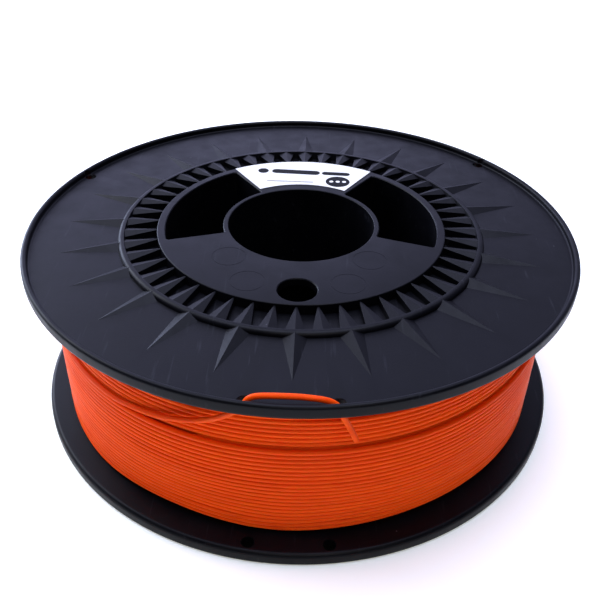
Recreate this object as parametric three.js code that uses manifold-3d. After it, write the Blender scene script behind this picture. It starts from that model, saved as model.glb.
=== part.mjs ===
// A 200 mm reel of 1.75 mm filament: two identical moulded halves, the wound
// filament, its free tail threaded through the rim, and a paper label.
// Millimetres, +Z up, origin on the spool axis at the lower resting face.
// Azimuths are in degrees from the front (-Y), positive towards +X.

import * as THREE from 'three';
import { ConvexGeometry } from 'three/addons/geometries/ConvexGeometry.js';
import { mergeVertices } from 'three/addons/utils/BufferGeometryUtils.js';
import Module from 'manifold-3d';

const wasm = await Module();
wasm.setup();

// ---- driving dimensions ---------------------------------------------------

const SPOOL_WIDTH = 67.5;        // over both lips
const FLANGE_RADIUS = 100;
const FLANGE_THICKNESS = 4.9;    // inner face to the top of the lip
const LIP_HEIGHT = 2.3;          // lip above the flange's outer face
const LIP_WIDTH = 2.1;
const RIM_ROUND = 1.65;          // round on the winding side of the rim
const BORE_RADIUS = 27;
const BORE_WALL = 1.8;
const HUB_RADIUS = 53;           // disc that stands level with the lip
const WEB_THICKNESS = 2.8;       // hub disc
const BARREL_RADIUS = 52.7;      // outer face of the barrel
const BARREL_WALL = 2.6;
const MATING_GAP = 0.3;          // left between pieces that touch
const SEGMENTS = 60;

const RING_RADIUS = 67.1;        // foot of the ribbed ring round the hub; its top is rounded
const RING_DROP = 0.6;           // ring top below the hub top
const RIDGE_COUNT = 48;
const RIDGE_HALF_WIDTH = 3.4;    // at its outer end; sharp at the hub
const RIDGE_SLOPE_DROP = 1;      // from the top edge to the side walls, at the outer end
const GROOVE_INNER_RADIUS = 53.3;
const GROOVE_FLOOR_RADIUS = 63.9;
const GROOVE_OUTER_RADIUS = 64.7;
const GROOVE_DEPTH = 2.9;        // below the ring top
const SPIKE_COUNT = 24;
const SPIKE_TIP_RADIUS = 86.9;
const SPIKE_HALF_WIDTH = 4.2;

const WINDOW_START = 72.25;      // degrees, each side of the front
const WINDOW_END = 145.5;
const WINDOW_LEDGE = 0.3;        // left against the bore tube and the barrel
const SECTOR_WALL = 2;
const DRIVE_HOLE_RADIUS = 6.6;
const DRIVE_HOLE_OFFSET = 44.4;
const RIM_HOLE_RADIUS = 2.2;
const RIM_HOLE_OFFSET = 96.2;
const RIM_HOLE_AZIMUTHS = [-7.6, 7.85, -113, 128.4];

const LAP_RADIUS = 51.3;         // tongue and recess meet here
const LAP_HEIGHT = 3;

const FILAMENT_DIAMETER = 1.75;
const WOUND_RADIUS = 91.8;       // outer layer
const LAYER_STEP = 2.05;         // one layer down
const OUTER_LAYER_BOTTOM = 6.5;  // the outer layer covers this part of the width
const OUTER_LAYER_TOP = 41.5;

const LABEL_INNER_RADIUS = 31.2;
const LABEL_OUTER_RADIUS = 52.6;
const LABEL_AZIMUTH = 180.8;
const LABEL_HALF_ANGLE = 33.2;
const LABEL_THICKNESS = 0.15;
const LABEL_GAP = 0.02;

// ---- derived from them ----------------------------------------------------

const MIDPLANE = SPOOL_WIDTH / 2;
const LIP_TOP = SPOOL_WIDTH / 2;                       // from the mid-plane
const INNER_FACE = LIP_TOP - FLANGE_THICKNESS;
const OUTER_FACE = LIP_TOP - LIP_HEIGHT;
const RING_TOP = LIP_TOP - RING_DROP;
const GROOVE_FLOOR = RING_TOP - GROOVE_DEPTH;
const WEB_UNDERSIDE = LIP_TOP - WEB_THICKNESS;
const MATING_FACE = MATING_GAP / 2;
const BORE_TUBE_RADIUS = BORE_RADIUS + BORE_WALL;
const BARREL_INNER_RADIUS = BARREL_RADIUS - BARREL_WALL;

const rad = THREE.MathUtils.degToRad;

// ---- geometry helpers -----------------------------------------------------

// Point at an azimuth and a radius, on the front-is-minus-Y convention.
function polar(azimuth, radius, z) {
  const a = rad(azimuth);
  return new THREE.Vector3(radius * Math.sin(a), -radius * Math.cos(a), z);
}

function toSolid(geometry) {
  const bare = geometry.clone();
  bare.deleteAttribute('normal');
  bare.deleteAttribute('uv');
  const merged = mergeVertices(bare, 1e-4);
  return new wasm.Manifold(new wasm.Mesh({
    numProp: 3,
    vertProperties: new Float32Array(merged.attributes.position.array),
    triVerts: new Uint32Array(merged.index.array),
  }));
}

function toGeometry(solid) {
  const mesh = solid.getMesh();
  const geometry = new THREE.BufferGeometry();
  geometry.setAttribute('position', new THREE.BufferAttribute(mesh.vertProperties, 3));
  geometry.setIndex(new THREE.BufferAttribute(mesh.triVerts, 1));
  geometry.computeVertexNormals();
  return geometry;
}

// Points of an arc in the (radius, height) plane, both ends included.
function arc(centreR, centreZ, radius, fromDegrees, toDegrees, steps) {
  return Array.from({ length: steps + 1 }, (_, i) => {
    const a = rad(fromDegrees + ((toDegrees - fromDegrees) * i) / steps);
    return [centreR + radius * Math.cos(a), centreZ + radius * Math.sin(a)];
  });
}

// Quarter of an ellipse, from its outer foot to the top of its inner edge.
function quarterRound(innerR, bottomZ, outerR, topZ, steps) {
  return Array.from({ length: steps + 1 }, (_, i) => {
    const a = (Math.PI / 2) * (i / steps);
    return [innerR + (outerR - innerR) * Math.cos(a), bottomZ + (topZ - bottomZ) * Math.sin(a)];
  });
}

// Closed (radius, height) outline, anticlockwise, turned round +Z.
function turned(outline) {
  const points = [...outline, outline[0]].map(([r, z]) => new THREE.Vector2(r, z));
  return new THREE.LatheGeometry(points, SEGMENTS).rotateX(Math.PI / 2);
}

// Part of a flat ring between two azimuths and two heights.
function sector(innerRadius, outerRadius, fromAzimuth, toAzimuth, bottom, top) {
  const from = rad(fromAzimuth - 90);
  const to = rad(toAzimuth - 90);
  const shape = new THREE.Shape();
  shape.absarc(0, 0, outerRadius, from, to, false);
  shape.absarc(0, 0, innerRadius, to, from, true);
  shape.closePath();
  const options = { depth: top - bottom, bevelEnabled: false, curveSegments: 20 };
  return new THREE.ExtrudeGeometry(shape, options).translate(0, 0, bottom);
}

function pin(azimuth, offset, radius, bottom, top, sides) {
  const centre = polar(azimuth, offset, (bottom + top) / 2);
  return new THREE.CylinderGeometry(radius, radius, top - bottom, sides)
    .rotateX(Math.PI / 2)
    .translate(centre.x, centre.y, centre.z);
}

// ---- one moulded half, mid-plane at z = 0, outer side up -------------------

function halfOutline() {
  const chamfer = 0.4;
  const lipRound = LIP_WIDTH / 2;
  const rimStart = FLANGE_RADIUS - RIM_ROUND;
  const lipInnerFoot = FLANGE_RADIUS - LIP_WIDTH - 0.5;
  return [
    [BORE_RADIUS, MATING_FACE],
    [BORE_TUBE_RADIUS, MATING_FACE],
    [BORE_TUBE_RADIUS, WEB_UNDERSIDE],
    [BARREL_INNER_RADIUS, WEB_UNDERSIDE],
    [BARREL_INNER_RADIUS, MATING_FACE],
    [BARREL_RADIUS, MATING_FACE],
    [BARREL_RADIUS, INNER_FACE],
    ...arc(rimStart, INNER_FACE + RIM_ROUND, RIM_ROUND, -90, 0, 4),
    ...arc(FLANGE_RADIUS - lipRound, LIP_TOP - lipRound, lipRound, 0, 180, 4),
    [lipInnerFoot, OUTER_FACE],
    ...quarterRound(GROOVE_OUTER_RADIUS, OUTER_FACE, RING_RADIUS, RING_TOP, 3),
    [GROOVE_FLOOR_RADIUS, GROOVE_FLOOR],
    [GROOVE_INNER_RADIUS, GROOVE_FLOOR],
    [HUB_RADIUS, LIP_TOP - chamfer],
    [HUB_RADIUS - chamfer, LIP_TOP],
    [BORE_RADIUS + chamfer, LIP_TOP],
    [BORE_RADIUS, LIP_TOP - chamfer],
  ];
}

// One roofed ridge across the groove: a blade at the hub that widens towards
// the ring, with upright sides and its top edge just below the ring top.
function ridge() {
  const bottom = GROOVE_FLOOR - 0.5;
  const top = RING_TOP - 0.05;
  const inner = HUB_RADIUS - 0.4;
  const outer = GROOVE_OUTER_RADIUS + 0.4;
  const bladeHalf = 0.2;
  const corners = [new THREE.Vector3(0, -inner, top), new THREE.Vector3(0, -outer, top)];
  for (const side of [-1, 1]) {
    for (const z of [top - 0.1, bottom]) {
      corners.push(new THREE.Vector3(side * bladeHalf, -inner, z));
    }
    for (const z of [top - RIDGE_SLOPE_DROP, bottom]) {
      corners.push(new THREE.Vector3(side * RIDGE_HALF_WIDTH, -outer, z));
    }
  }
  return new ConvexGeometry(corners);
}

// A long pyramid from the ring's edge down to the flange face.
function spike() {
  const root = GROOVE_OUTER_RADIUS + 0.4;
  const sunk = 0.8;
  return new ConvexGeometry([
    new THREE.Vector3(0, -root, RING_TOP),
    new THREE.Vector3(0, -SPIKE_TIP_RADIUS, OUTER_FACE),
    new THREE.Vector3(-SPIKE_HALF_WIDTH, -root, OUTER_FACE),
    new THREE.Vector3(SPIKE_HALF_WIDTH, -root, OUTER_FACE),
    new THREE.Vector3(-SPIKE_HALF_WIDTH, -root, OUTER_FACE - sunk),
    new THREE.Vector3(SPIKE_HALF_WIDTH, -root, OUTER_FACE - sunk),
    new THREE.Vector3(0, -SPIKE_TIP_RADIUS, OUTER_FACE - sunk),
  ]);
}

// Wall under one edge of a window; the window cut trims it to SECTOR_WALL.
function sectorWall(azimuth) {
  const inner = BORE_TUBE_RADIUS - 0.8;
  const outer = BARREL_INNER_RADIUS + 0.8;
  const top = WEB_UNDERSIDE + 0.8;
  return new THREE.BoxGeometry(2 * SECTOR_WALL, outer - inner, top - MATING_FACE)
    .translate(0, -(inner + outer) / 2, (top + MATING_FACE) / 2)
    .rotateZ(rad(azimuth));
}

function halfWindow(side) {
  const from = side > 0 ? WINDOW_START : -WINDOW_END;
  const to = side > 0 ? WINDOW_END : -WINDOW_START;
  const inner = BORE_TUBE_RADIUS + WINDOW_LEDGE;
  const outer = BARREL_INNER_RADIUS - WINDOW_LEDGE;
  return sector(inner, outer, from, to, -1, LIP_TOP + 1);
}

function buildHalf() {
  let half = toSolid(turned(halfOutline()));

  for (const azimuth of [WINDOW_START, WINDOW_END, -WINDOW_START, -WINDOW_END]) {
    half = half.add(toSolid(sectorWall(azimuth)));
  }
  for (const side of [-1, 1]) {
    half = half.subtract(toSolid(halfWindow(side)));
  }

  const ridgeSolid = toSolid(ridge());
  for (let i = 0; i < RIDGE_COUNT; i += 1) {
    half = half.add(ridgeSolid.rotate([0, 0, (i * 360) / RIDGE_COUNT]));
  }
  const spikeSolid = toSolid(spike());
  for (let i = 0; i < SPIKE_COUNT; i += 1) {
    half = half.add(spikeSolid.rotate([0, 0, (i * 360) / SPIKE_COUNT]));
  }

  const driveHole = pin(0, DRIVE_HOLE_OFFSET, DRIVE_HOLE_RADIUS, WEB_UNDERSIDE - 1, LIP_TOP + 1, 28);
  half = half.subtract(toSolid(driveHole));
  for (const azimuth of RIM_HOLE_AZIMUTHS) {
    const hole = pin(azimuth, RIM_HOLE_OFFSET, RIM_HOLE_RADIUS, INNER_FACE - 1, LIP_TOP + 1, 12);
    half = half.subtract(toSolid(hole));
  }

  // Lap joint in the barrel: a tongue on the +X side and a recess for the
  // other half's tongue on the -X side, so that one mould makes both halves.
  const recess = sector(BARREL_INNER_RADIUS - MATING_GAP, LAP_RADIUS + MATING_GAP,
    -175, -5, -1, LAP_HEIGHT + MATING_GAP);
  const tongue = sector(BARREL_INNER_RADIUS + 0.2, LAP_RADIUS, 8, 172, -LAP_HEIGHT, 1.5);
  return half.subtract(toSolid(recess)).add(toSolid(tongue));
}

// ---- the wound filament, its tail and the label ----------------------------

// Outer shape of the winding: a full layer over part of the width, and the
// layer below it showing above and below.
function windingGeometry() {
  const inner = BARREL_RADIUS + MATING_GAP;
  const below = WOUND_RADIUS - LAYER_STEP;
  const bottom = MIDPLANE - INNER_FACE + MATING_GAP;
  const top = MIDPLANE + INNER_FACE - MATING_GAP;
  return turned([
    [inner, bottom],
    [below, bottom],
    [below, OUTER_LAYER_BOTTOM],
    [WOUND_RADIUS, OUTER_LAYER_BOTTOM],
    [WOUND_RADIUS, OUTER_LAYER_TOP],
    [below, OUTER_LAYER_TOP],
    [below, top],
    [inner, top],
  ]);
}

// Route of the tail: azimuth, radius, height. It lies on the edge of the outer
// layer, climbs to the upper rim, goes up through one rim hole and down
// through the next, and ends cut off beside the winding.
const TAIL_ROUTE = [
  [-55.3, 90.95, 42.7],
  [-49.5, 90.95, 42.7],
  [-43.5, 90.95, 42.7],
  [-38.0, 91.0, 42.9],
  [-34.0, 91.1, 43.7],
  [-30.5, 91.3, 44.6],
  [-27.5, 91.5, 45.4],
  [-24.5, 91.8, 46.6],
  [-21.8, 92.1, 48.0],
  [-19.2, 92.4, 49.4],
  [-16.8, 92.8, 51.0],
  [-14.5, 93.3, 53.0],
  [-12.5, 93.9, 55.2],
  [-10.9, 94.6, 57.5],
  [-9.6, 95.2, 59.5],
  [-8.7, 95.7, 61.3],
  [-8.1, 96.0, 62.8],
  [-7.55, 96.1, 64.5],
  [-6.9, 96.1, 66.1],
  [-5.9, 96.1, 67.1],
  [-4.2, 96.0, 67.6],
  [-1.6, 95.9, 67.8],
  [1.5, 95.9, 67.7],
  [3.6, 96.2, 67.5],
  [5.2, 96.4, 67.1],
  [6.5, 96.5, 66.3],
  [7.4, 96.5, 65.0],
  [7.9, 96.4, 63.4],
  [8.3, 96.2, 61.6],
  [8.8, 96.0, 59.4],
  [9.6, 95.8, 56.6],
  [10.4, 95.7, 53.6],
  [11.2, 95.6, 50.1],
];

function tailGeometry() {
  const sides = 8;
  const steps = 60;
  const points = TAIL_ROUTE.map(([azimuth, radius, z]) => polar(azimuth, radius, z));
  const path = new THREE.CatmullRomCurve3(points, false, 'centripetal');
  const section = new THREE.Shape();
  for (let i = 0; i < sides; i += 1) {
    const a = (2 * Math.PI * i) / sides;
    const x = (FILAMENT_DIAMETER / 2) * Math.cos(a);
    const y = (FILAMENT_DIAMETER / 2) * Math.sin(a);
    if (i === 0) section.moveTo(x, y);
    else section.lineTo(x, y);
  }
  section.closePath();
  return new THREE.ExtrudeGeometry(section, { steps, bevelEnabled: false, extrudePath: path });
}

function labelGeometry() {
  const bottom = SPOOL_WIDTH + LABEL_GAP;
  return sector(LABEL_INNER_RADIUS, LABEL_OUTER_RADIUS,
    LABEL_AZIMUTH - LABEL_HALF_ANGLE, LABEL_AZIMUTH + LABEL_HALF_ANGLE,
    bottom, bottom + LABEL_THICKNESS);
}

// ---- materials --------------------------------------------------------------

const charcoalPlastic = new THREE.MeshStandardMaterial({
  color: 0x2a2c33, roughness: 0.5, metalness: 0,
});
const orangeFilament = new THREE.MeshStandardMaterial({
  color: 0xd8400f, roughness: 0.38, metalness: 0,
});
const whitePaper = new THREE.MeshStandardMaterial({
  color: 0xf1f1f0, roughness: 0.65, metalness: 0,
});

// ---- assembly -----------------------------------------------------------------

function named(name, geometry, material) {
  const mesh = new THREE.Mesh(geometry, material);
  mesh.name = name;
  return mesh;
}

const spool = new THREE.Group();
const halfGeometry = toGeometry(buildHalf());

const upperHalf = named('spool_half_upper', halfGeometry, charcoalPlastic);
upperHalf.position.z = MIDPLANE;
spool.add(upperHalf);

const lowerHalf = named('spool_half_lower', halfGeometry, charcoalPlastic);
lowerHalf.rotation.y = Math.PI;
lowerHalf.position.z = MIDPLANE;
spool.add(lowerHalf);

spool.add(named('filament_winding', windingGeometry(), orangeFilament));
spool.add(named('filament_tail', tailGeometry(), orangeFilament));
spool.add(named('hub_label', labelGeometry(), whitePaper));

export default spool;
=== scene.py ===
"""A 200 mm spool of orange 1.75 mm filament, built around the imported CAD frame.

Shapes are made in millimetres in the CAD's own frame and scaled to metres at the end of each
maker. Azimuths are degrees from the front (-Y), positive towards +X.
"""
import math

import bmesh
import bpy
from mathutils import Matrix, Vector, noise


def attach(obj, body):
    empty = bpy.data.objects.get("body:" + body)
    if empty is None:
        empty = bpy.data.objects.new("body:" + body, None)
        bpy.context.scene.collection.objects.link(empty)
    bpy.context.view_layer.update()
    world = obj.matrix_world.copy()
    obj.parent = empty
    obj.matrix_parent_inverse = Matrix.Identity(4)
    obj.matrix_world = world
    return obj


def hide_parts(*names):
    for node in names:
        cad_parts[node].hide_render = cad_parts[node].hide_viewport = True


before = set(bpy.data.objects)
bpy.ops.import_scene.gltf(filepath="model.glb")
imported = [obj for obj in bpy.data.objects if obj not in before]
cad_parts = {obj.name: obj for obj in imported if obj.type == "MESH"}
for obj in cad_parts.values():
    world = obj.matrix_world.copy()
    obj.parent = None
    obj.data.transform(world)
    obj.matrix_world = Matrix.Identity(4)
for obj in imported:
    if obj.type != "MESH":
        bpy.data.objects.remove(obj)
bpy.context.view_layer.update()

MM = 0.001

# ---- sizes, in millimetres -------------------------------------------------------------------

WIDTH = 67.5                             # over both lips
FLANGE_RADIUS = 100
MIDPLANE = WIDTH / 2
SEGMENTS = 288                           # round the axis of a half

FLANGE_THICKNESS = 4.9                   # from the inner face to the top of the lip
LIP_HEIGHT = 2.3
LIP_WIDTH = 2.1
LIP_FILLET = 0.6                         # between the lip and the flange
RIM_ROUND = 1.65
BORE_RADIUS = 27
BORE_WALL = 1.8
HUB_RADIUS = 53
HUB_EDGE_ROUND = 0.45
WEB_THICKNESS = 2.8
BARREL_RADIUS = 52.7
BARREL_WALL = 2.6
SECTOR_WALL_HALF = 2                     # before the windows are cut
MATING_GAP = 0.12
OVERLAP = 0.8                            # how deep one solid reaches into the next
CLEARANCE = 0.1                          # between neighbours that nearly touch

RING_RADIUS = 67.1                       # at its foot
RING_FLAT = 0.8                          # flat part of its top, rounded off outside that
RING_DROP = 0.6                          # below the top of the lip
RING_EDGE_ROUND = 0.15                   # towards the groove
GROOVE_INNER_RADIUS = 53.3
GROOVE_FLOOR_RADIUS = 63.9
GROOVE_OUTER_RADIUS = 64.7
GROOVE_DEPTH = 2.9
RIDGE_COUNT = 48
RIDGE_HALF_WIDTH = 3.4                   # at the ring
RIDGE_SLOPE_DROP = 1.0                   # from the crest to the upright sides, at the ring
RIDGE_TIP_HALF_WIDTH = 0.2               # at the hub
RIDGE_TIP_DROP = 0.1
SPIKE_COUNT = 24
SPIKE_TIP_RADIUS = 86.9
SPIKE_HALF_WIDTH = 4.2

WINDOW_START = 72.25                     # azimuths of a window's two sides
WINDOW_END = 145.5
WINDOW_CORNER = 1.2
DRIVE_HOLE_RADIUS = 6.6
DRIVE_HOLE_OFFSET = 44.4
RIM_HOLE_RADIUS = 2.1
RIM_HOLE_OFFSET = 96.2
RIM_HOLE_AZIMUTHS = (-7.6, 7.85, -113, 128.4)
CHAMFER = 0.3                            # round the windows and the driving hole
RIM_HOLE_CHAMFER = 0.2
EJECTOR_MARKS = ((-22.5, 43.5), (22.5, 43.5), (-44, 35), (44, 35))    # azimuth, radius
EJECTOR_RADIUS = 5.7
EJECTOR_DEPTH = 0.05

FILAMENT = 1.75
PITCH = 1.755
WOUND_RADIUS = 91.8
LAYER_STEP = 1.52                        # radius between layers, which nest in each other
OUTER_TURNS = 21.05                      # in the last layer
OUTER_LAYER_TOP = 42.7                   # centre of the strand where it turns into the tail
TAIL_START = -55.3                       # azimuth

LIP_TOP = MIDPLANE
INNER_FACE = LIP_TOP - FLANGE_THICKNESS
OUTER_FACE = LIP_TOP - LIP_HEIGHT
RING_TOP = LIP_TOP - RING_DROP
GROOVE_FLOOR = RING_TOP - GROOVE_DEPTH
WEB_UNDERSIDE = LIP_TOP - WEB_THICKNESS
BORE_TUBE_RADIUS = BORE_RADIUS + BORE_WALL
BARREL_INNER_RADIUS = BARREL_RADIUS - BARREL_WALL


# ---- mesh helpers ----------------------------------------------------------------------------

def polar(azimuth, radius, z=0.0):
    """Point at an azimuth, a distance from the axis and a height."""
    a = math.radians(azimuth)
    return Vector((radius * math.sin(a), -radius * math.cos(a), z))


def arc(centre, radius, start, end, steps):
    """(radius, height) points round a centre, both ends included."""
    points = []
    for i in range(steps + 1):
        a = math.radians(start + (end - start) * i / steps)
        points.append((centre[0] + radius * math.cos(a), centre[1] + radius * math.sin(a)))
    return points


def quarter_round(inner, bottom, outer, top, steps):
    """Quarter of an ellipse, from its outer foot to the top of its inner edge."""
    points = []
    for i in range(steps + 1):
        a = math.pi / 2 * i / steps
        across, up = (outer - inner) * math.cos(a), (top - bottom) * math.sin(a)
        points.append((inner + across, bottom + up))
    return points


def ellipse(centre, width, height, count=48):
    """(x, y) points round an ellipse, anticlockwise."""
    points = []
    for i in range(count):
        a = 2 * math.pi * i / count
        points.append((centre[0] + width / 2 * math.cos(a), centre[1] + height / 2 * math.sin(a)))
    return points


def circle(radius, centre, count):
    return ellipse(centre, 2 * radius, 2 * radius, count)


def linked(name, data):
    """A mesh, curve, lamp or camera as an object of the scene."""
    piece = bpy.data.objects.new(name, data)
    bpy.context.scene.collection.objects.link(piece)
    return piece


def make_object(name, vertices, faces):
    mesh = bpy.data.meshes.new(name)
    mesh.from_pydata([tuple(v) for v in vertices], [], faces)
    mesh.update()
    return linked(name, mesh)


def from_bmesh(name, work):
    mesh = bpy.data.meshes.new(name)
    work.to_mesh(mesh)
    work.free()
    return linked(name, mesh)


def lathe(name, outline, segments=SEGMENTS):
    """Closed anticlockwise (radius, height) outline turned round the axis."""
    count = len(outline)
    vertices, faces = [], []
    for i in range(segments):
        vertices += [polar(360 * i / segments, r, z) for r, z in outline]
    for i in range(segments):
        here, there = i * count, (i + 1) % segments * count
        for j in range(count):
            k = (j + 1) % count
            faces.append((here + j, there + j, there + k, here + k))
    return make_object(name, vertices, faces)


def loft(name, levels):
    """Solid through outlines of (x, y) points, one at each height, all with the same count."""
    count = len(levels[0][0])
    vertices, faces = [], []
    for outline, z in levels:
        vertices += [(x, y, z) for x, y in outline]
    for level in range(len(levels) - 1):
        low, high = level * count, (level + 1) * count
        for j in range(count):
            k = (j + 1) % count
            faces.append((low + j, low + k, high + k, high + j))
    faces.append(tuple(reversed(range(count))))
    faces.append(tuple(range((len(levels) - 1) * count, len(levels) * count)))
    return make_object(name, vertices, faces)


def hull(name, points):
    """Convex solid round some points."""
    work = bmesh.new()
    for point in points:
        work.verts.new(point)
    bmesh.ops.convex_hull(work, input=work.verts)
    bmesh.ops.recalc_face_normals(work, faces=work.faces)
    return from_bmesh(name, work)


def joined(name, parts):
    """One object from several, their meshes side by side."""
    work = bmesh.new()
    for part in parts:
        mesh = part.data.copy()
        mesh.transform(part.matrix_basis)
        work.from_mesh(mesh)
        bpy.data.meshes.remove(mesh)
        bpy.data.objects.remove(part)
    return from_bmesh(name, work)


def spun(part, count):
    """Copies of a part turned round the axis, joined."""
    copies = []
    for i in range(count):
        copy = part.copy()
        copy.data = part.data.copy()
        copy.matrix_basis = Matrix.Rotation(i * (2 * math.pi / count), 4, "Z")
        bpy.context.scene.collection.objects.link(copy)
        copies.append(copy)
    bpy.data.objects.remove(part)
    return joined("spun", copies)


def combine(target, tool, operation):
    """Adds a tool solid to the target, or cuts it out of it, and applies the result."""
    modifier = target.modifiers.new("combine", "BOOLEAN")
    modifier.operation = operation
    modifier.solver = "MANIFOLD"
    modifier.object = tool
    graph = bpy.context.evaluated_depsgraph_get()
    mesh = bpy.data.meshes.new_from_object(target.evaluated_get(graph))
    target.modifiers.clear()
    target.data = mesh
    bpy.data.objects.remove(tool)


def finished(piece, material, sharp=9):
    """Scales a piece to metres, shades it, paints it and ties it to the spool's one body."""
    mesh = piece.data
    mesh.transform(Matrix.Scale(MM, 4))
    mesh.shade_smooth()
    mesh.set_sharp_from_angle(angle=math.radians(sharp))
    mesh.materials.clear()
    mesh.materials.append(material)
    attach(piece, "root")
    return piece


# ---- node helpers ----------------------------------------------------------------------------

class Nodes:
    """A material and short ways to add nodes to it."""

    def __init__(self, name):
        self.material = bpy.data.materials.new(name)
        self.material.use_nodes = True
        self.tree = self.material.node_tree
        self.shader = self.tree.nodes["Principled BSDF"]
        self.place = self.add("ShaderNodeNewGeometry").outputs["Position"]

    def add(self, kind, **settings):
        node = self.tree.nodes.new(kind)
        for key, value in settings.items():
            setattr(node, key, value)
        return node

    def link(self, source, target):
        self.tree.links.new(source, target)

    def put(self, name, value):
        """Gives one of the shader's inputs a fixed value, or links it to a node."""
        socket = self.shader.inputs[name]
        if isinstance(value, bpy.types.NodeSocket):
            self.link(value, socket)
        else:
            socket.default_value = value

    def noise(self, scale, detail=3.0, stretch=None):
        node = self.add("ShaderNodeTexNoise")
        node.inputs["Scale"].default_value = scale
        node.inputs["Detail"].default_value = detail
        self.link(self.stretched(stretch), node.inputs["Vector"])
        return node.outputs["Fac"]

    def stretched(self, stretch):
        if stretch is None:
            return self.place
        node = self.add("ShaderNodeVectorMath", operation="MULTIPLY")
        node.inputs[1].default_value = stretch
        self.link(self.place, node.inputs[0])
        return node.outputs[0]

    def ramp(self, value, stops):
        """Two colours, each with the value where it is reached."""
        node = self.add("ShaderNodeValToRGB")
        elements = node.color_ramp.elements
        for element, (position, color) in zip(elements, stops):
            element.position = position
            element.color = (*color, 1)
        self.link(value, node.inputs["Fac"])
        return node.outputs["Color"]

    def span(self, value, low, high, to_low, to_high):
        """A value between two limits moved to two others, and held there outside them."""
        node = self.add("ShaderNodeMapRange")
        node.inputs["From Min"].default_value = low
        node.inputs["From Max"].default_value = high
        node.inputs["To Min"].default_value = to_low
        node.inputs["To Max"].default_value = to_high
        self.link(value, node.inputs["Value"])
        return node.outputs["Result"]

    def math(self, operation, a, b):
        node = self.add("ShaderNodeMath", operation=operation)
        for socket, value in zip(node.inputs, (a, b)):
            if isinstance(value, (int, float)):
                socket.default_value = value
            else:
                self.link(value, socket)
        return node.outputs[0]

    def mix(self, factor, a, b):
        node = self.add("ShaderNodeMix", data_type="RGBA")
        for name, value in (("Factor", factor), ("A", a), ("B", b)):
            socket = next(s for s in node.inputs if s.name == name and s.enabled)
            if isinstance(value, tuple):
                socket.default_value = (*value, 1)
            else:
                self.link(value, socket)
        return next(s for s in node.outputs if s.enabled)

    def bump(self, height, distance, strength, under=None):
        node = self.add("ShaderNodeBump")
        node.inputs["Distance"].default_value = distance
        node.inputs["Strength"].default_value = strength
        self.link(height, node.inputs["Height"])
        if under is not None:
            self.link(under, node.inputs["Normal"])
        return node.outputs["Normal"]


# ---- materials -------------------------------------------------------------------------------

def charcoal_plastic():
    """Satin moulded plastic with a fine grain, a few faint scratches and specks of dust."""
    n = Nodes("charcoal_plastic")
    cloud = n.noise(38, detail=4)
    color = n.ramp(cloud, [(0.3, (0.0008, 0.0008, 0.0014)), (0.7, (0.0020, 0.0020, 0.0032))])

    specks = n.add("ShaderNodeTexVoronoi", feature="F1")
    specks.inputs["Scale"].default_value = 120
    n.link(n.place, specks.inputs["Vector"])
    near = n.span(specks.outputs["Distance"], 0.02, 0.045, 1, 0)
    chosen = n.math("GREATER_THAN", n.noise(61, detail=0), 0.62)
    dust = n.math("MULTIPLY", near, chosen)

    streaks = n.noise(1, detail=2, stretch=(900, 60, 300))
    scratches = n.span(streaks, 0.66, 0.8, 0, 0.5)
    scratched = n.mix(scratches, color, (0.02, 0.021, 0.025))
    n.put("Base Color", n.mix(dust, scratched, (0.07, 0.07, 0.08)))

    roughness = n.span(n.noise(160, detail=3), 0.3, 0.7, 0.34, 0.46)
    n.put("Roughness", n.math("ADD", roughness, n.math("MULTIPLY", dust, 0.3)))
    n.put("Specular IOR Level", 0.10)
    grain = n.bump(n.noise(2600, detail=2), 0.00004, 0.5)
    n.put("Normal", n.bump(n.noise(30, detail=1), 0.0012, 0.12, under=grain))
    return n.material


def orange_filament():
    """Extruded plastic that lets a little light through, slightly uneven from turn to turn."""
    n = Nodes("orange_filament")
    bands = n.noise(1, detail=2, stretch=(18, 18, 420))
    color = n.ramp(bands, [(0.3, (0.73, 0.057, 0.001)), (0.7, (0.84, 0.079, 0.002))])
    n.put("Base Color", color)
    n.put("Roughness", n.span(n.noise(240), 0.3, 0.7, 0.36, 0.5))
    n.put("Specular IOR Level", 0.06)
    n.put("Subsurface Weight", 0.5)
    n.put("Subsurface Radius", (1.0, 0.3, 0.1))
    n.put("Subsurface Scale", 0.001)
    n.put("Normal", n.bump(n.noise(1500, detail=2), 0.00003, 0.4))
    return n.material


def label_paper():
    """Coated paper with a faint fibre pattern."""
    n = Nodes("label_paper")
    fibre = n.noise(900, detail=4)
    n.put("Base Color", n.ramp(fibre, [(0.3, (0.64, 0.63, 0.58)), (0.7, (0.70, 0.69, 0.64))]))
    n.put("Roughness", n.span(n.noise(300), 0.3, 0.7, 0.38, 0.5))
    n.put("Specular IOR Level", 0.1)
    n.put("Normal", n.bump(fibre, 0.00003, 0.3))
    return n.material


def printing_ink(name, dark, light):
    """Matt ink, mottled between two colours."""
    n = Nodes(name)
    n.put("Base Color", n.ramp(n.noise(1400, detail=3), [(0.35, dark), (0.65, light)]))
    n.put("Roughness", n.span(n.noise(500), 0.3, 0.7, 0.35, 0.5))
    n.put("Specular IOR Level", 0.02)
    return n.material


def studio_floor():
    """White sweep that glows faintly, with a round near-black disc of painted shade hidden under
    the spool.
    """
    painted_shade_radius = FLANGE_RADIUS - 2
    n = Nodes("studio_floor")
    white = n.ramp(n.noise(3, detail=1), [(0.3, (0.94, 0.96, 0.89)), (0.7, (0.96, 0.98, 0.91))])
    distance = n.add("ShaderNodeVectorMath", operation="LENGTH")
    n.link(n.place, distance.inputs[0])
    # painted shade: a near-black disc stands for the shade under the lower flange, where the rim
    # holes look down to the floor
    in_painted_shade = n.math("LESS_THAN", distance.outputs["Value"], painted_shade_radius * MM)
    color = n.mix(in_painted_shade, white, (0.002, 0.002, 0.002))
    n.put("Base Color", color)
    n.put("Emission Color", color)
    n.put("Emission Strength", 0.2)
    n.put("Roughness", 0.9)
    n.put("Specular IOR Level", 0.0)
    return n.material


# ---- camera ----------------------------------------------------------------------------------

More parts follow.
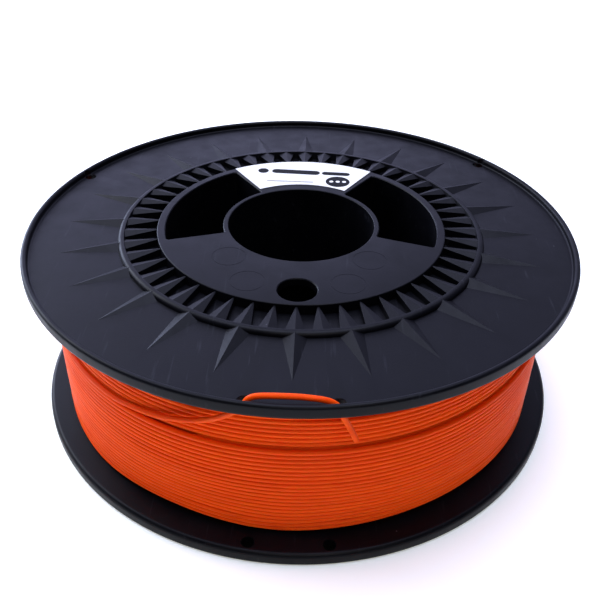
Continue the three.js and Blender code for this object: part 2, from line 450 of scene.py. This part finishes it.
def add_camera():
    """A standard lens close to the spool, looking down at its front."""
    azimuth, distance, height = 1.06, 248.1, WIDTH + 138.7
    yaw, pitch, roll = -1.03, 35.03, 1.18
    data = bpy.data.cameras.new("camera")
    data.sensor_width = 36
    data.lens = 45.64
    data.clip_start = 0.01
    data.clip_end = 20
    camera = linked("camera", data)
    heading = Matrix.Rotation(math.radians(-yaw), 4, "Z")
    tilt = Matrix.Rotation(math.radians(90 - pitch), 4, "X")
    bank = Matrix.Rotation(math.radians(roll), 4, "Z")
    place = Matrix.Translation(polar(azimuth, distance, height) * MM)
    camera.matrix_world = place @ (heading @ tilt @ bank)
    bpy.context.scene.camera = camera


# ---- the tail --------------------------------------------------------------------------------

# Azimuth, radius, height: along the edge of the outer layer, up through one rim
# hole, down through the next, and free at the end.
TAIL_ROUTE = [
    (-55.3, 90.95, 42.7), (-49.5, 90.95, 42.7), (-43.5, 90.95, 42.7), (-38.0, 91.0, 42.9),
    (-34.0, 91.1, 43.7), (-30.5, 91.3, 44.6), (-27.5, 91.5, 45.4), (-24.5, 91.8, 46.6),
    (-21.8, 92.1, 48.0), (-19.2, 92.4, 49.4), (-16.8, 92.8, 51.0), (-14.5, 93.3, 53.0),
    (-12.5, 93.9, 55.2), (-10.9, 94.6, 57.5), (-9.6, 95.2, 59.5), (-8.7, 95.7, 61.3),
    (-8.1, 96.0, 62.8), (-7.55, 96.1, 64.5), (-6.9, 96.1, 66.1), (-5.9, 96.1, 67.1),
    (-4.2, 96.0, 67.6), (-1.6, 95.9, 67.8), (1.5, 95.9, 67.7), (3.6, 96.2, 67.5),
    (5.2, 96.4, 67.1), (6.5, 96.5, 66.3), (7.4, 96.5, 65.0), (7.9, 96.4, 63.4),
    (8.3, 96.2, 61.6), (8.8, 96.0, 59.4), (9.6, 95.8, 56.6), (10.4, 95.7, 53.6),
    (11.2, 95.6, 50.1),
]


def add_tail(material):
    """A smooth round strand through the points of the route."""
    points = [polar(*point) * MM for point in TAIL_ROUTE]
    data = bpy.data.curves.new("tail", "CURVE")
    data.dimensions = "3D"
    data.bevel_depth = FILAMENT / 2 * MM
    data.bevel_resolution = 6
    data.resolution_u = 10
    data.use_fill_caps = True
    spline = data.splines.new("BEZIER")
    spline.bezier_points.add(len(points) - 1)
    for i, point in enumerate(points):
        before = points[max(i - 1, 0)]
        after = points[min(i + 1, len(points) - 1)]
        along = (after - before).normalized()
        knot = spline.bezier_points[i]
        knot.co = point
        knot.handle_left = point - along * (point - before).length / 3
        knot.handle_right = point + along * (after - point).length / 3
    data.materials.append(material)
    tail = linked("tail", data)
    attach(tail, "root")
    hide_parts("filament_tail")


# ---- the moulded halves ----------------------------------------------------------------------

def half_outline():
    """Section of one half, anticlockwise from the lower end of the bore."""
    lip = LIP_WIDTH / 2
    foot = FLANGE_RADIUS - LIP_WIDTH - LIP_FILLET
    ring_edge = RING_EDGE_ROUND
    edge = HUB_EDGE_ROUND
    return [
        (BORE_RADIUS, MATING_GAP / 2),
        (BORE_TUBE_RADIUS, MATING_GAP / 2),
        (BORE_TUBE_RADIUS, WEB_UNDERSIDE),
        (BARREL_INNER_RADIUS, WEB_UNDERSIDE),
        (BARREL_INNER_RADIUS, MATING_GAP / 2),
        (BARREL_RADIUS, MATING_GAP / 2),
        (BARREL_RADIUS, INNER_FACE),
        *arc((FLANGE_RADIUS - RIM_ROUND, INNER_FACE + RIM_ROUND), RIM_ROUND, -90, 0, 12),
        *arc((FLANGE_RADIUS - lip, LIP_TOP - lip), lip, 0, 180, 24),
        *arc((foot, OUTER_FACE + LIP_FILLET), LIP_FILLET, -8, -90, 10),
        *quarter_round(GROOVE_OUTER_RADIUS + RING_FLAT, OUTER_FACE, RING_RADIUS, RING_TOP, 14),
        *arc((GROOVE_OUTER_RADIUS + ring_edge, RING_TOP - ring_edge), ring_edge, 90, 160, 6),
        (GROOVE_FLOOR_RADIUS, GROOVE_FLOOR),
        (GROOVE_INNER_RADIUS, GROOVE_FLOOR),
        *arc((HUB_RADIUS - edge, LIP_TOP - edge), edge, 0, 90, 11),
        *arc((BORE_RADIUS + edge, LIP_TOP - edge), edge, 90, 180, 11),
    ]


def ridges():
    """Roofs across the groove, each a thin edge at the hub and 7 mm wide at the ring."""
    top = RING_TOP - 0.05                       # so that it doesn't share the ring's flat top
    bottom = GROOVE_FLOOR - 0.5
    inner, outer = HUB_RADIUS - 0.4, GROOVE_OUTER_RADIUS + 0.5
    points = [(0, -inner, top), (0, -outer, top)]
    for side in (-1, 1):
        for z in (top - RIDGE_TIP_DROP, bottom):
            points.append((side * RIDGE_TIP_HALF_WIDTH, -inner, z))
        for z in (top - RIDGE_SLOPE_DROP, bottom):
            points.append((side * RIDGE_HALF_WIDTH, -outer, z))
    return spun(hull("ridge", points), RIDGE_COUNT)


def spikes():
    """Pointed ribs with a sloping crest, from the ring down to the flange."""
    root = GROOVE_OUTER_RADIUS + 0.4
    points = [(0, -root, RING_TOP)]
    for x, y in ((0, -SPIKE_TIP_RADIUS), (-SPIKE_HALF_WIDTH, -root), (SPIKE_HALF_WIDTH, -root)):
        points += [(x, y, OUTER_FACE), (x, y, OUTER_FACE - OVERLAP)]
    return spun(hull("spike", points), SPIKE_COUNT)


def sector_walls():
    """Walls under the edges of the windows; the window cut trims them to 2 mm."""
    walls = []
    inner, outer = BORE_TUBE_RADIUS - OVERLAP, BARREL_INNER_RADIUS + OVERLAP
    half = SECTOR_WALL_HALF
    for azimuth in (WINDOW_START, WINDOW_END, -WINDOW_START, -WINDOW_END):
        outline = [(-half, -outer), (half, -outer), (half, -inner), (-half, -inner)]
        wall = loft("wall", [(outline, MATING_GAP / 2), (outline, WEB_UNDERSIDE + OVERLAP)])
        wall.matrix_basis = Matrix.Rotation(math.radians(azimuth), 4, "Z")
        walls.append(wall)
    return joined("walls", walls)


def window_outline(side, grow):
    """Part of a ring with rounded corners, anticlockwise, grown outwards by a little."""
    inner = BORE_TUBE_RADIUS + CLEARANCE - grow
    outer = BARREL_INNER_RADIUS - CLEARANCE + grow
    steps, corner_steps = 60, 11
    points = []
    for radius, turn in ((outer, 1), (inner, -1)):
        start = WINDOW_START - math.degrees(grow / radius)
        end = WINDOW_END + math.degrees(grow / radius)
        inset = math.degrees(WINDOW_CORNER / radius)
        straight = end - start - 2 * inset
        corner = corner_run(start, inset, radius, -turn * WINDOW_CORNER, corner_steps)
        run = list(corner)
        run += [(start + inset + straight * i / steps, radius) for i in range(1, steps)]
        run += [(start + end - a, r) for a, r in reversed(corner)]
        points += run if turn > 0 else list(reversed(run))
    if side < 0:
        points = [(-a, r) for a, r in reversed(points)]
    return [tuple(polar(a, r))[:2] for a, r in points]


def corner_run(start, inset, radius, dip, steps):
    """Quarter round from the side edge to the curved edge of a window."""
    run = []
    for i in range(steps + 1):
        a = math.pi / 2 * i / steps
        run.append((start + inset * (1 - math.cos(a)), radius + dip * (1 - math.sin(a))))
    return run


def windows():
    """Cutters for the two windows, wider at the top for a chamfer."""
    cutters = []
    for side in (-1, 1):
        plain = window_outline(side, 0)
        flared = window_outline(side, CHAMFER)
        wide = window_outline(side, CHAMFER + 0.2)
        cutters.append(loft("window", [
            (plain, -1),
            (plain, LIP_TOP - CHAMFER),
            (flared, LIP_TOP),
            (wide, LIP_TOP + 1),
        ]))
    return joined("windows", cutters)


def round_holes():
    """The driving hole and the four rim holes, each with a small chamfer."""
    drive = polar(0, DRIVE_HOLE_OFFSET)
    cutters = [loft("drive", [
        (circle(DRIVE_HOLE_RADIUS, drive, 96), WEB_UNDERSIDE - 1),
        (circle(DRIVE_HOLE_RADIUS, drive, 96), LIP_TOP - CHAMFER),
        (circle(DRIVE_HOLE_RADIUS + CHAMFER, drive, 96), LIP_TOP),
        (circle(DRIVE_HOLE_RADIUS + CHAMFER + 0.2, drive, 96), LIP_TOP + 1),
    ])]
    for azimuth in RIM_HOLE_AZIMUTHS:
        centre = polar(azimuth, RIM_HOLE_OFFSET)
        cutters.append(loft("rim_hole", [
            (circle(RIM_HOLE_RADIUS, centre, 48), INNER_FACE - 1),
            (circle(RIM_HOLE_RADIUS, centre, 48), OUTER_FACE - RIM_HOLE_CHAMFER),
            (circle(RIM_HOLE_RADIUS + RIM_HOLE_CHAMFER, centre, 48), OUTER_FACE),
            (circle(RIM_HOLE_RADIUS + RIM_HOLE_CHAMFER + 0.1, centre, 48), LIP_TOP + 1),
        ]))
    return joined("holes", cutters)


def ejector_rings():
    """Shallow round marks that the mould's ejector pins leave."""
    rings = []
    inner, outer = EJECTOR_RADIUS, EJECTOR_RADIUS + 0.2
    bottom, clear = LIP_TOP - EJECTOR_DEPTH, LIP_TOP + 0.5
    for azimuth, radius in EJECTOR_MARKS:
        outline = [(inner, bottom), (outer, bottom), (outer + 0.05, clear), (inner - 0.05, clear)]
        ring = lathe("mark", outline, 48)
        ring.matrix_basis = Matrix.Translation(polar(azimuth, radius))
        rings.append(ring)
    return joined("marks", rings)


def moulded_half():
    """One half with its mid-plane at z = 0 and its outer side up."""
    half = lathe("half", half_outline())
    combine(half, sector_walls(), "UNION")
    combine(half, windows(), "DIFFERENCE")
    combine(half, ridges(), "UNION")
    combine(half, spikes(), "UNION")
    combine(half, round_holes(), "DIFFERENCE")
    combine(half, ejector_rings(), "DIFFERENCE")
    return half


def add_halves(material):
    """The upper half, and the same moulding turned over below it."""
    lower = moulded_half()
    lower.name = "lower_half"
    upper = lower.copy()
    upper.data = lower.data.copy()
    upper.name = "upper_half"
    bpy.context.scene.collection.objects.link(upper)
    lift = Matrix.Translation((0, 0, MIDPLANE))
    upper.data.transform(lift)
    lower.data.transform(lift @ Matrix.Rotation(math.pi, 4, "Y"))
    for piece, node in ((upper, "spool_half_upper"), (lower, "spool_half_lower")):
        finished(piece, material)
        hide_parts(node)


# ---- the winding -----------------------------------------------------------------------------

# Where turns are pushed up and part from those below: lowest such turn, azimuth, half-width in
# degrees, height.
LOWER_GAPS = (
    (0, 32, 55, 2.9),
    (0, -25, 28, 2.7),
    (1, -52, 24, 1.1),
    (2, 10, 14, 0.6),
    (3, -15, 20, 0.6),
    (3, 60, 45, 0.8),
)
UPPER_GAPS = ((7, 8, 22, 0.4),)
GAP_FADE = 12                            # turns over which the push dies away upwards


def bump_at(azimuth, centre, half_width):
    """A smooth hump between 0 and 1 round an azimuth."""
    away = abs((azimuth - centre + 180) % 360 - 180) / half_width
    return 0.5 + 0.5 * math.cos(math.pi * away) if away < 1 else 0.0


def strand(radius, bottom, turns, end_azimuth, gaps, seed):
    """Rings of a helical tube that ends at an azimuth, with small irregularities."""
    per_turn, sides = 200, 10
    half_thickness = FILAMENT / 2 + 0.05        # pressed against its neighbours
    wander_up, wander_out = 0.10, 0.09
    steps = round(turns * per_turn)
    rings = []
    for i in range(steps + 1):
        wound = i / per_turn
        azimuth = end_azimuth + 360 * (wound - turns)
        z = bottom + PITCH * wound
        a = math.radians(azimuth)
        where = Vector((1.6 * math.cos(a), 1.6 * math.sin(a), seed + wound * 0.83))
        z += wander_up * noise.noise(where)
        out = radius + wander_out * noise.noise(where * 1.7 + Vector((9, 4, 2)))
        for turn, centre, half_width, size in gaps:
            if wound >= turn - 0.5:
                fade = max(0.0, 1 - (wound - turn + 0.5) / GAP_FADE)
                z += size * bump_at(azimuth, centre, half_width) * fade
        ring = []
        for j in range(sides):
            b = 2 * math.pi * j / sides
            across, up = half_thickness * math.cos(b), half_thickness * math.sin(b)
            ring.append(polar(azimuth, out + across, z + up))
        rings.append(ring)
    return rings


def tube(name, rings):
    """Skin over a row of rings, closed at both ends."""
    sides = len(rings[0])
    vertices = [point for ring in rings for point in ring]
    faces = []
    for i in range(len(rings) - 1):
        here, there = i * sides, (i + 1) * sides
        for j in range(sides):
            k = (j + 1) % sides
            faces.append((here + j, there + j, there + k, here + k))
    faces.append(tuple(range(sides)))
    faces.append(tuple(reversed(range((len(rings) - 1) * sides, len(rings) * sides))))
    return make_object(name, vertices, faces)


def add_winding(material):
    """The last layer, the one below it where it shows, and a plain core for all the others."""
    outer = WOUND_RADIUS - FILAMENT / 2
    below = outer - LAYER_STEP
    barrel = BARREL_RADIUS + CLEARANCE
    floor = MIDPLANE - INNER_FACE + CLEARANCE
    ceiling = MIDPLANE + INNER_FACE - CLEARANCE
    step = OUTER_LAYER_TOP - 4                  # the core is slimmer below this
    first = OUTER_LAYER_TOP - OUTER_TURNS * PITCH
    upper_first = OUTER_LAYER_TOP - 1.2
    upper_turns = (ceiling - FILAMENT / 2 - upper_first) / PITCH
    core = [
        (barrel, floor),
        (below - 1, floor),
        (below - 1, step),
        (below - 0.1, step),
        (below - 0.1, ceiling),
        (barrel, ceiling),
    ]
    parts = [
        tube("outer_layer", strand(outer, first, OUTER_TURNS, TAIL_START, LOWER_GAPS, 3.0)),
        tube("layer_below", strand(below, upper_first, upper_turns, 150, UPPER_GAPS, 40.0)),
        lathe("core", core, 240),
    ]
    winding = finished(joined("winding", parts), material, sharp=50)
    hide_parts("filament_winding")


# ---- the label -------------------------------------------------------------------------------

LABEL_AZIMUTH = 180.7
LABEL_HALF_ANGLE = 32.5
LABEL_INNER, LABEL_OUTER = 31.2, 52.6
LABEL_BOTTOM = WIDTH + 0.02
LABEL_TOP = LABEL_BOTTOM + 0.15
INK_THICKNESS = 0.04                     # half of it stands above the paper

# Generic print: two bars and a dot above, a thin line and a badge below, as (x, y) centres.
LONG_BAR, SHORT_BAR = (-3.4, 42.5), (13.2, 41.7)
ROUND_DOT = (-17.0, 43.0)
THIN_LINE = (-5.5, 33.6)
BADGE = (13.9, 34.4)
BADGE_DOT_STEP = 2.6


def label_outline():
    """Part of a ring behind the bore, between two windows."""
    start, end = LABEL_AZIMUTH - LABEL_HALF_ANGLE, LABEL_AZIMUTH + LABEL_HALF_ANGLE
    steps = 48
    outer = [(start + (end - start) * i / steps, LABEL_OUTER) for i in range(steps + 1)]
    inner = [(a, LABEL_INNER) for a, _ in reversed(outer)]
    return [tuple(polar(a, r))[:2] for a, r in outer + inner]


def rounded_bar(centre, length, height, tilt=0.0):
    """Outline of a bar with round ends, anticlockwise."""
    points = []
    r = height / 2
    for end, start in ((1, -90), (-1, 90)):
        for i in range(13):
            a = math.radians(start + 180 * i / 12)
            points.append((end * (length / 2 - r) + r * math.cos(a), r * math.sin(a)))
    c, s = math.cos(math.radians(tilt)), math.sin(math.radians(tilt))
    return [(centre[0] + c * x - s * y, centre[1] + s * x + c * y) for x, y in points]


def add_print(name, outlines, material, lift=0.0):
    """Ink shapes as thin raised films on the label."""
    low = LABEL_TOP - INK_THICKNESS / 2 + lift
    high = low + INK_THICKNESS
    parts = [loft("ink", [(outline, low), (outline, high)]) for outline in outlines]
    finished(joined(name, parts), material)


def add_label(paper, dark_ink, grey_ink):
    """The sheet and its print, each ink shape on the paper or on the badge."""
    outline = label_outline()
    sheet = loft("label", [(outline, LABEL_BOTTOM), (outline, LABEL_TOP)])
    label = finished(sheet, paper)
    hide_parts("hub_label")
    bars = [rounded_bar(LONG_BAR, 20, 3.8, -3), rounded_bar(SHORT_BAR, 11.6, 3.0, -3)]
    add_print("label_bars", bars + [ellipse(ROUND_DOT, 4.4, 4.4)], dark_ink)
    add_print("label_line", [rounded_bar(THIN_LINE, 19, 1.0, -1)], grey_ink)
    add_print("label_badge", [ellipse(BADGE, 9.8, 9.4)], dark_ink)
    dots = []
    for i in (-1, 0, 1):
        dots.append(ellipse((BADGE[0] + i * BADGE_DOT_STEP, BADGE[1]), 1.7, 1.7, 24))
    add_print("label_dots", dots, paper, lift=0.03)


# ---- floor and lights ------------------------------------------------------------------------

def studio_world():
    """Dim blue surroundings, brightest towards the window at the back left."""
    world = bpy.data.worlds.new("studio")
    world.use_nodes = True
    tree = world.node_tree
    place = tree.nodes.new("ShaderNodeTexCoord")
    towards = tree.nodes.new("ShaderNodeVectorMath")
    towards.operation = "DOT_PRODUCT"
    towards.inputs[1].default_value = polar(-167, 0.93, 0.37)
    ramp = tree.nodes.new("ShaderNodeValToRGB")
    elements = ramp.color_ramp.elements
    elements.new(0.5)
    elements.new(0.5)
    tint = (0.85, 0.88, 1.38)
    sky = ((0.0, 0.05), (0.45, 0.42), (0.85, 0.66), (1.0, 2.0))     # nearness, brightness
    for element, (position, level) in zip(elements, sky):
        element.position = position
        element.color = (*(channel * level for channel in tint), 1)
    tree.links.new(place.outputs["Generated"], towards.inputs[0])
    tree.links.new(towards.outputs["Value"], ramp.inputs["Fac"])
    tree.links.new(ramp.outputs["Color"], tree.nodes["Background"].inputs["Color"])
    return world


def add_stage():
    """Floor, surroundings and plain colour reproduction."""
    half = 3
    corners = [(-half, -half, 0), (half, -half, 0), (half, half, 0), (-half, half, 0)]
    floor = make_object("floor", corners, [(0, 1, 2, 3)])
    floor.data.materials.append(studio_floor())
    bpy.context.scene.world = studio_world()
    bpy.context.scene.view_settings.view_transform = "Standard"


def add_light(name, azimuth, elevation, distance, size, radiance, color):
    """A square soft light aimed at the middle of the spool; distance and size in metres."""
    data = bpy.data.lights.new(name, "AREA")
    data.size = size
    data.energy = radiance * math.pi * size * size
    data.color = color
    lamp = linked(name, data)
    flat = math.cos(math.radians(elevation)) * distance
    up = math.sin(math.radians(elevation)) * distance
    target = Vector((0, 0, MIDPLANE * MM))
    lamp.location = target + polar(azimuth, flat, up)
    lamp.rotation_euler = (target - lamp.location).to_track_quat("-Z", "Y").to_euler()


def add_lights():
    add_light("window_left", -115, 36, 1.1, 0.7, 5.6, (0.90, 0.95, 1.08))
    add_light("window_back", -134, 10, 1.5, 0.7, 7.0, (0.78, 0.90, 1.25))
    add_light("soft_top", 180, 86, 1.3, 1.1, 4.9, (0.86, 0.93, 1.28))
    add_light("front_fill", 8, 48, 1.6, 0.7, 3.2, (1.0, 0.96, 0.88))


# ---- the scene -------------------------------------------------------------------------------

def main():
    """Camera and cord first, then the pieces, then the stage round them."""
    add_camera()
    filament = orange_filament()
    add_tail(filament)
    add_halves(charcoal_plastic())
    add_winding(filament)
    dark = printing_ink("dark_ink", (0.008, 0.008, 0.009), (0.014, 0.014, 0.016))
    grey = printing_ink("grey_ink", (0.28, 0.27, 0.24), (0.36, 0.35, 0.31))
    add_label(label_paper(), dark, grey)
    add_stage()
    add_lights()


main()
